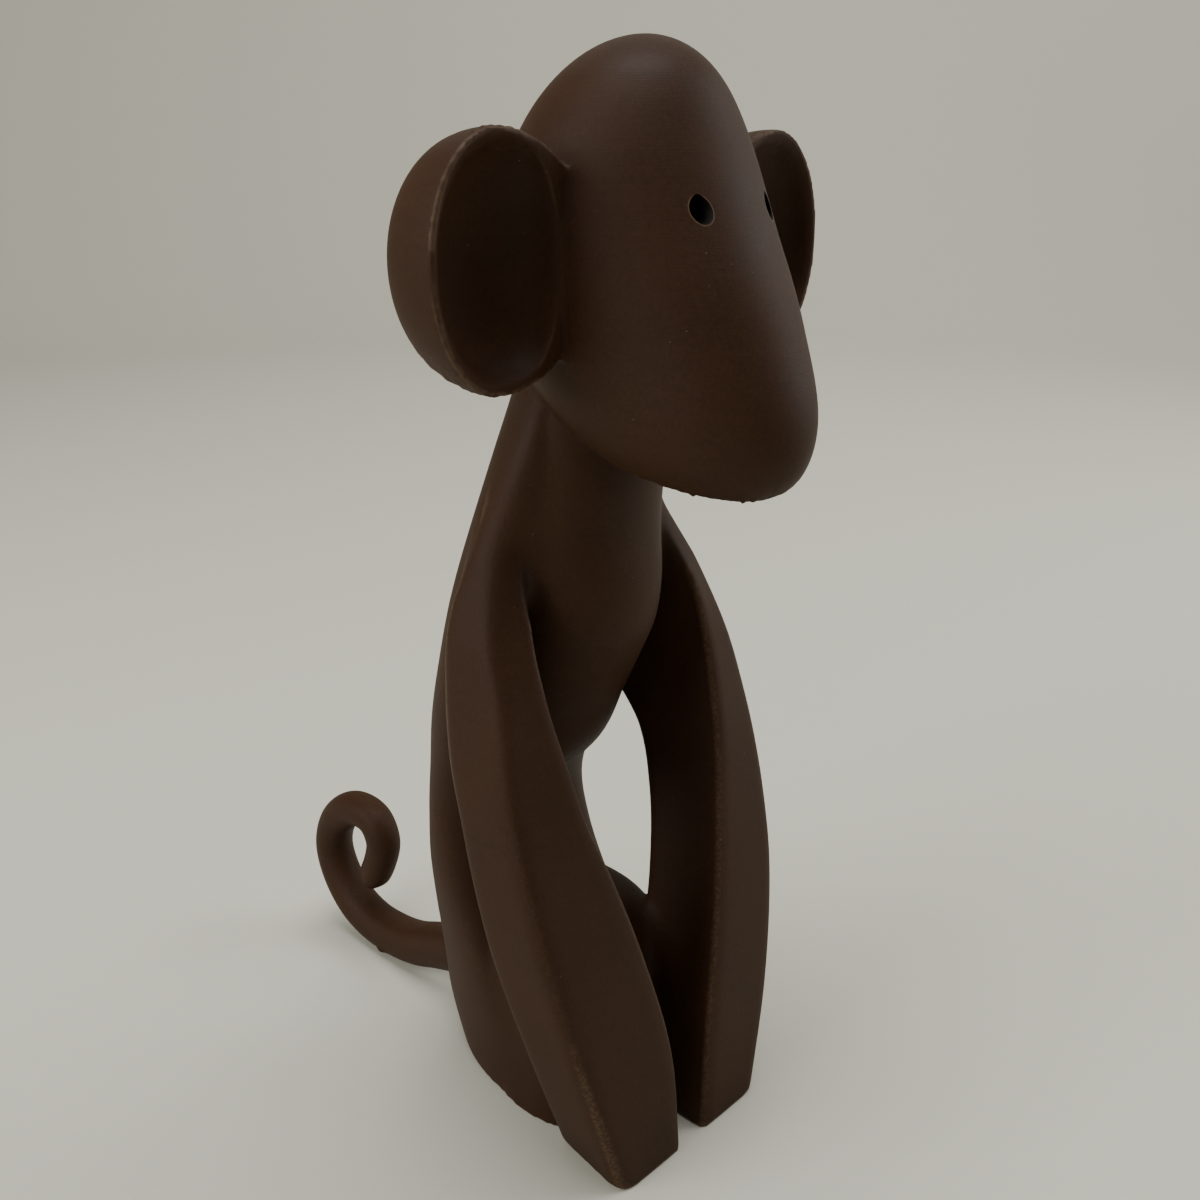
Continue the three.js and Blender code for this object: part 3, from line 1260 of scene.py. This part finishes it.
class Graph:
    """A material's nodes, written as expressions."""

    def __init__(self, name: str) -> None:
        """Starts a material with only its output.

        Args:
            name: The material's name.
        """
        self.material = bpy.data.materials.new(name)
        self.material.use_nodes = True
        self.tree = self.material.node_tree
        self.tree.nodes.clear()

    def node(
        self, kind: str, settings: dict[str, object] | None = None,
        inputs: dict[Union[str, int], object] | None = None, output: Union[str, int] = 0,
    ) -> Value:
        """Adds any node.

        Args:
            kind: The node's type.
            settings: The node's own options, set first.
            inputs: Values or links for its sockets, by name or number.
            output: Which of its outputs is wanted.

        Returns:
            That output.
        """
        node = self.tree.nodes.new(kind)
        for key, value in (settings or {}).items():
            setattr(node, key, value)
        for key, value in (inputs or {}).items():
            socket = node.inputs[key]
            if isinstance(value, Value):
                self.tree.links.new(value.socket, socket)
            elif isinstance(value, tuple) and socket.type == "RGBA":
                socket.default_value = (*value, 1.0)
            else:
                socket.default_value = value
        return Value(self, node.outputs[output])

    def finish(self, surface: Value) -> bpy.types.Material:
        """Links a shader to the output.

        Args:
            surface: The shader.

        Returns:
            The finished material.
        """
        output = self.tree.nodes.new("ShaderNodeOutputMaterial")
        self.tree.links.new(surface.socket, output.inputs["Surface"])
        return self.material

    def math(self, operation: str, *terms: Term) -> Value:
        """Adds one Math node over up to three terms."""
        return self.node("ShaderNodeMath", {"operation": operation}, dict(enumerate(terms)))

    def blend(self, low: Union[Value, Colour], high: Union[Value, Colour], share: Term) -> Value:
        """Goes from one colour to another.

        Args:
            low: The colour at share 0.
            high: The colour at share 1.
            share: How far to go.

        Returns:
            The colour.
        """
        # The sockets for colours are this node's inputs 6 and 7 and its output 2
        inputs = {0: share, 6: low, 7: high}
        return self.node("ShaderNodeMix", {"data_type": "RGBA"}, inputs, output=2)

    def speckle(self, size: float, detail: float = 2.0) -> Value:
        """Makes a cloudy value round 0.5 that keeps its size on the object.

        Args:
            size: The width of a cloud, in metres.
            detail: Octaves of finer cloud.

        Returns:
            The value, from about 0.2 to 0.8.
        """
        place = self.node("ShaderNodeTexCoord", output="Object")
        inputs = {0: place, 1: (1 / size,) * 3}
        scaled = self.node("ShaderNodeVectorMath", {"operation": "MULTIPLY"}, inputs)
        return self.node("ShaderNodeTexNoise", {}, {"Vector": scaled, "Scale": 1.0, "Detail": detail})

    def per_height(self, layers: Value, scale: float, detail: float) -> Value:
        """Makes a value round 0.5 that is the same all over a layer.

        Args:
            layers: The height, counted in layers.
            scale: How quickly it changes from layer to layer.
            detail: Octaves of finer change.

        Returns:
            The value, from about 0.2 to 0.8.
        """
        inputs = {"W": layers, "Scale": scale, "Detail": detail}
        return self.node("ShaderNodeTexNoise", {"noise_dimensions": "1D"}, inputs)


@dataclass(frozen=True)
class PrintedPlastic:
    """Matte brown plastic laid down in level layers, with a pale painted highlight on edges, painted
    shade in grooves and eye holes, and rough undersides.
    """

    deep_colour: Colour = (0.020, 0.0068, 0.0016)
    pale_colour: Colour = (0.044, 0.0170, 0.0052)
    # Painted highlight: the pale colour laid on edges, along the arms and on the eye holes' rims
    highlight_colour: Colour = (0.15, 0.095, 0.06)
    fleck_colour: Colour = (0.22, 0.18, 0.15)
    # Painted shade: the near black laid inside the eye holes
    eye_shade_colour: Colour = (0.004, 0.002, 0.001)
    roughness: float = 0.62
    cloud_roughness: float = 0.12
    layer_roughness: float = 0.05
    edge_polish: float = 0.08
    cloud_tone: float = 0.7
    sand_tone: float = 0.9
    layer_tone: float = 0.12
    # Painted shade: how far the grooves are darkened towards the deep colour
    groove_shade: float = 0.5
    cloud_size: float = 14 * MM
    patch_size: float = 1.6 * MM
    sand_size: float = 0.55 * MM
    grain_size: float = 0.35 * MM
    # Where each mark starts to show and where it is full
    edge_bends: Span = (0.3, 0.75)
    groove_bends: Span = (-0.04, -0.3)
    level_tilts: Span = (0.55, 0.98)
    highlight_patches: Span = (0.4, 0.6)
    fleck_patches: Span = (0.52, 0.6)
    fleck_edge: Span = (0.07, 0.03)
    speckles: Span = (0.42, 0.6)
    # How strongly each mark shows
    # Painted highlight: its share in patches on edges, on all edges and on the lines along the arms
    patch_highlight_share: float = 0.22
    edge_share: float = 0.12
    line_share: float = 0.32
    line_floor: float = 0.4
    # Painted highlight on the eye holes' rims: its least share and the share that the patches add
    rim_low: float = 0.25
    rim_patches: float = 0.5
    fleck_share: float = 0.3
    layer: float = 0.2 * MM
    bead_depth: float = 0.006 * MM
    wobble_depth: float = 0.008 * MM
    grain_depth: float = 0.016 * MM
    fleck_spacing: float = 2.2 * MM
    rim_width: float = 0.14
    ior: float = 1.46
    sheen: float = 0.22
    # The eye holes' marks, painted highlight on the rim and painted shade inside: how far behind the
    # face they end, how steep a face counts as the front, and where floor and wall start and are full,
    # in radii of the hole
    mark_depths: Span = (8 * MM, 6 * MM)
    front_normals: Span = (-0.5, -0.7)
    floor_reach: Span = (0.99, 0.93)
    wall_reach: Span = (1.25, 1.2)
    head: Head = Head()

    def material(self) -> bpy.types.Material:
        """Builds the material.

        Returns:
            The material, for the piece's only slot.
        """
        graph = Graph("brown_printed_plastic")
        place = graph.node("ShaderNodeTexCoord", output="Object")
        height = graph.node("ShaderNodeSeparateXYZ", {}, {0: place}, output="Z")
        normal = graph.node("ShaderNodeNewGeometry", output="Normal")
        tilt = graph.node("ShaderNodeSeparateXYZ", {}, {0: normal}, output="Z")
        bend = graph.node("ShaderNodeAttribute", {"attribute_name": "bend"}, output="Fac")
        ridge = graph.node("ShaderNodeAttribute", {"attribute_name": "ridge"}, output="Fac")

        layers = height / self.layer
        phase = layers.fraction()
        per_layer = graph.per_height(layers, 0.9, 3.0)
        band = graph.per_height(layers, 0.11, 2.0)
        clouds = graph.speckle(self.cloud_size, 3.0)
        grain = graph.speckle(self.grain_size, 2.0)
        patches = graph.speckle(self.patch_size, 3.0)
        sand = graph.speckle(self.sand_size, 3.0)
        spots = {"Vector": place, "Scale": 1 / self.fleck_spacing}
        flecks = graph.node("ShaderNodeTexVoronoi", {}, spots, output="Distance")

        # Painted highlight on convex edges, partly only in patches
        edge = bend.between(*self.edge_bends)
        # Painted shade in grooves, where the surface bends inward
        groove = bend.between(*self.groove_bends)
        level = abs(tilt).between(*self.level_tilts)
        patchy_highlight = edge * patches.between(*self.highlight_patches)
        fleck = flecks.between(*self.fleck_edge) * patches.between(*self.fleck_patches)
        # Painted highlight along the arms' edges and the printer's seam
        line = ridge * (self.line_floor + sand.between(*self.speckles) * (1 - self.line_floor))
        rim, painted_eye_shade = self.eye_marks(graph, place)

        uneven = (clouds - 0.5) * self.cloud_tone + (sand - 0.5) * self.sand_tone
        layered = (band - 0.5) * self.layer_tone + (per_layer - 0.5) * self.layer_tone
        # All the painted highlight: patches, edges and the lines along the arms
        painted_highlight = patchy_highlight * self.patch_highlight_share + edge * self.edge_share + line * self.line_share
        colour = graph.blend(self.deep_colour, self.pale_colour, 0.5 + uneven + layered)
        # Painted shade darkens the grooves
        colour = graph.blend(colour, self.deep_colour, groove * self.groove_shade)
        colour = graph.blend(colour, self.highlight_colour, painted_highlight)
        # Painted highlight on the eye holes' rims
        colour = graph.blend(colour, self.highlight_colour, rim * (self.rim_low + patches * self.rim_patches))
        # Painted shade inside the eye holes
        colour = graph.blend(colour, self.eye_shade_colour, painted_eye_shade)
        colour = graph.blend(colour, self.fleck_colour, fleck * self.fleck_share)

        uneven_gloss = (clouds - 0.5) * self.cloud_roughness + (per_layer - 0.5) * self.layer_roughness
        roughness = self.roughness + uneven_gloss - patchy_highlight * self.edge_polish

        centred = phase * 2 - 1
        bead = (1 - centred * centred) * self.bead_depth
        step = (1 - phase) * level * (self.layer / 2)
        wobble = (per_layer - 0.5) * self.wobble_depth
        relief = bead + step + wobble + (grain - 0.5) * self.grain_depth
        bump = graph.node("ShaderNodeBump", {}, {"Strength": 1.0, "Distance": 1.0, "Height": relief})

        surface = graph.node(
            "ShaderNodeBsdfPrincipled", {},
            {
                "Base Color": colour, "Roughness": roughness, "Normal": bump,
                "IOR": self.ior, "Specular IOR Level": self.sheen,
            },
        )
        return graph.finish(surface)

    def eye_marks(self, graph: Graph, place: Value) -> tuple[Value, Value]:
        """Finds the thin pale rims of the eye holes, which get painted highlight, and their insides,
        which get painted shade.

        Args:
            graph: The material's graph.
            place: The Object coordinates.

        Returns:
            The share of painted highlight on the rim and the share of painted shade inside at each
            point, from 0 to 1.
        """
        eye_x, eye_y, eye_z = (value * UNIT for value in self.head.eye_centre)
        x, y, z = (graph.node("ShaderNodeSeparateXYZ", {}, {0: place}, output=axis) for axis in "XYZ")
        normal = graph.node("ShaderNodeNewGeometry", output="True Normal")
        forward = graph.node("ShaderNodeSeparateXYZ", {}, {0: normal}, output="Y")
        facing = forward.between(*self.front_normals)
        in_front = y.between(*(eye_y + depth for depth in self.mark_depths))
        across = (abs(x) - eye_x) / self.head.eye_squeeze
        up = z - eye_z
        reach = graph.math("SQRT", across * across + up * up) / (self.head.eye_diameter / 2)
        # The rim, where the face meets the hole, gets painted highlight
        rim = abs(reach - 1).between(self.rim_width, self.rim_width / 3) * facing
        # Floor and walls of the hole get the painted shade
        floor = reach.between(*self.floor_reach)
        wall = reach.between(*self.wall_reach) * (1 - facing)
        return rim * in_front, graph.math("MAXIMUM", floor, wall) * in_front


@dataclass(frozen=True)
class Softbox:
    """A square area light.

    Args:
        name: Its name.
        place: Where it stands.
        aim: The point that it faces.
        power: Its power, in watts.
        size: Its side, in metres.
    """

    name: str
    place: Place
    aim: Place
    power: float
    size: float = 0.5

    def build(self) -> None:
        """Adds the light."""
        light = bpy.data.lights.new(self.name, "AREA")
        light.shape = "SQUARE"
        light.size = self.size
        light.energy = self.power
        lamp = bpy.data.objects.new(self.name, light)
        lamp.location = self.place
        lamp.rotation_euler = (Vector(self.aim) - Vector(self.place)).to_track_quat("-Z", "Y").to_euler()
        bpy.context.scene.collection.objects.link(lamp)


@dataclass
class Studio:
    """A round pale floor that curves up into a wall, soft lights and the camera."""

    floor_radius: float = 0.9
    wall_curve: float = 0.5
    wall_height: float = 1.6
    curve_steps: int = 16
    spin_steps: int = 96
    floor_colour: Colour = (0.60, 0.585, 0.50)
    world_colour: Colour = (0.80, 0.80, 0.78)
    world_strength: float = 0.10
    softboxes: tuple[Softbox, ...] = (
        Softbox("left_softbox", (-0.66, 0.20, 0.40), FIGURE_MIDDLE, 4.2),
        Softbox("right_softbox", (0.58, -0.35, 0.42), FIGURE_MIDDLE, 3.0),
        Softbox("top_softbox", (0.0, 0.0, 0.8), FIGURE_MIDDLE, 4.6),
        Softbox("wall_light", (0.60, 0.22, 1.0), (1.15, 0.85, 0.45), 6.0),
    )
    camera_place: Place = (-0.1379, -0.1329, 0.1566)
    camera_yaw: float = 46.95
    camera_pitch: float = -19.42
    camera_roll: float = 0.09
    lens: float = 38.92
    sensor_width: float = 36

    def build(self) -> None:
        """Builds the floor, the lights, the world and the camera."""
        self.make_floor()
        self.make_world()
        self.make_camera()
        for softbox in self.softboxes:
            softbox.build()

    def make_floor(self) -> None:
        """Spins the floor and wall out of one profile."""
        bm = bmesh.new()
        profile = [bm.verts.new((0, 0, 0)), bm.verts.new((self.floor_radius, 0, 0))]
        for step in range(1, self.curve_steps + 1):
            angle = math.pi / 2 * step / self.curve_steps
            profile.append(bm.verts.new((
                self.floor_radius + self.wall_curve * math.sin(angle), 0,
                self.wall_curve * (1 - math.cos(angle)),
            )))
        profile.append(bm.verts.new((self.floor_radius + self.wall_curve, 0, self.wall_height)))
        edges = [bm.edges.new(pair) for pair in zip(profile, profile[1:])]
        bmesh.ops.spin(
            bm, geom=[*profile, *edges], cent=(0, 0, 0), axis=(0, 0, 1), angle=2 * math.pi,
            steps=self.spin_steps, use_merge=True,
        )
        bmesh.ops.remove_doubles(bm, verts=bm.verts, dist=0.01 * MM)
        bmesh.ops.recalc_face_normals(bm, faces=bm.faces)
        mesh = bpy.data.meshes.new("studio_floor")
        bm.to_mesh(mesh)
        bm.free()
        mesh.polygons.foreach_set("use_smooth", [True] * len(mesh.polygons))
        floor = bpy.data.objects.new("studio_floor", mesh)
        bpy.context.scene.collection.objects.link(floor)
        graph = Graph("pale_floor")
        surface = graph.node(
            "ShaderNodeBsdfPrincipled", {},
            {"Base Color": self.floor_colour, "Roughness": 0.8, "Specular IOR Level": 0.2},
        )
        mesh.materials.append(graph.finish(surface))

    def make_world(self) -> None:
        """Lights the open top of the studio."""
        world = bpy.data.worlds.new("studio_world")
        world.use_nodes = True
        background = world.node_tree.nodes["Background"]
        background.inputs["Color"].default_value = (*self.world_colour, 1.0)
        background.inputs["Strength"].default_value = self.world_strength
        bpy.context.scene.world = world

    def make_camera(self) -> None:
        """Sets the camera at the photograph's viewing angle."""
        data = bpy.data.cameras.new("camera")
        data.sensor_width = self.sensor_width
        data.lens = self.lens
        data.clip_start = 0.01
        data.clip_end = 20
        camera = bpy.data.objects.new("camera", data)
        turn = (
            Matrix.Rotation(math.radians(-self.camera_yaw), 4, "Z")
            @ Matrix.Rotation(math.radians(90 + self.camera_pitch), 4, "X")
            @ Matrix.Rotation(math.radians(self.camera_roll), 4, "Z")
        )
        camera.matrix_world = Matrix.Translation(self.camera_place) @ turn
        bpy.context.scene.collection.objects.link(camera)
        bpy.context.scene.camera = camera


def main() -> None:
    """Builds the studio and the figurine, and reports each piece."""
    logging.basicConfig(level=logging.INFO, format="%(name)s: %(message)s")
    Studio().build()
    piece = Figure().build()
    piece.data.materials.clear()
    piece.data.materials.append(PrintedPlastic().material())
    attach(piece, BODY)
    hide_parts(NODE)
    triangles = sum(len(polygon.vertices) - 2 for polygon in piece.data.polygons)
    log.info("%s: %d triangles, replaces %s", piece.name, triangles, NODE)


if __name__ == "__main__":
    main()
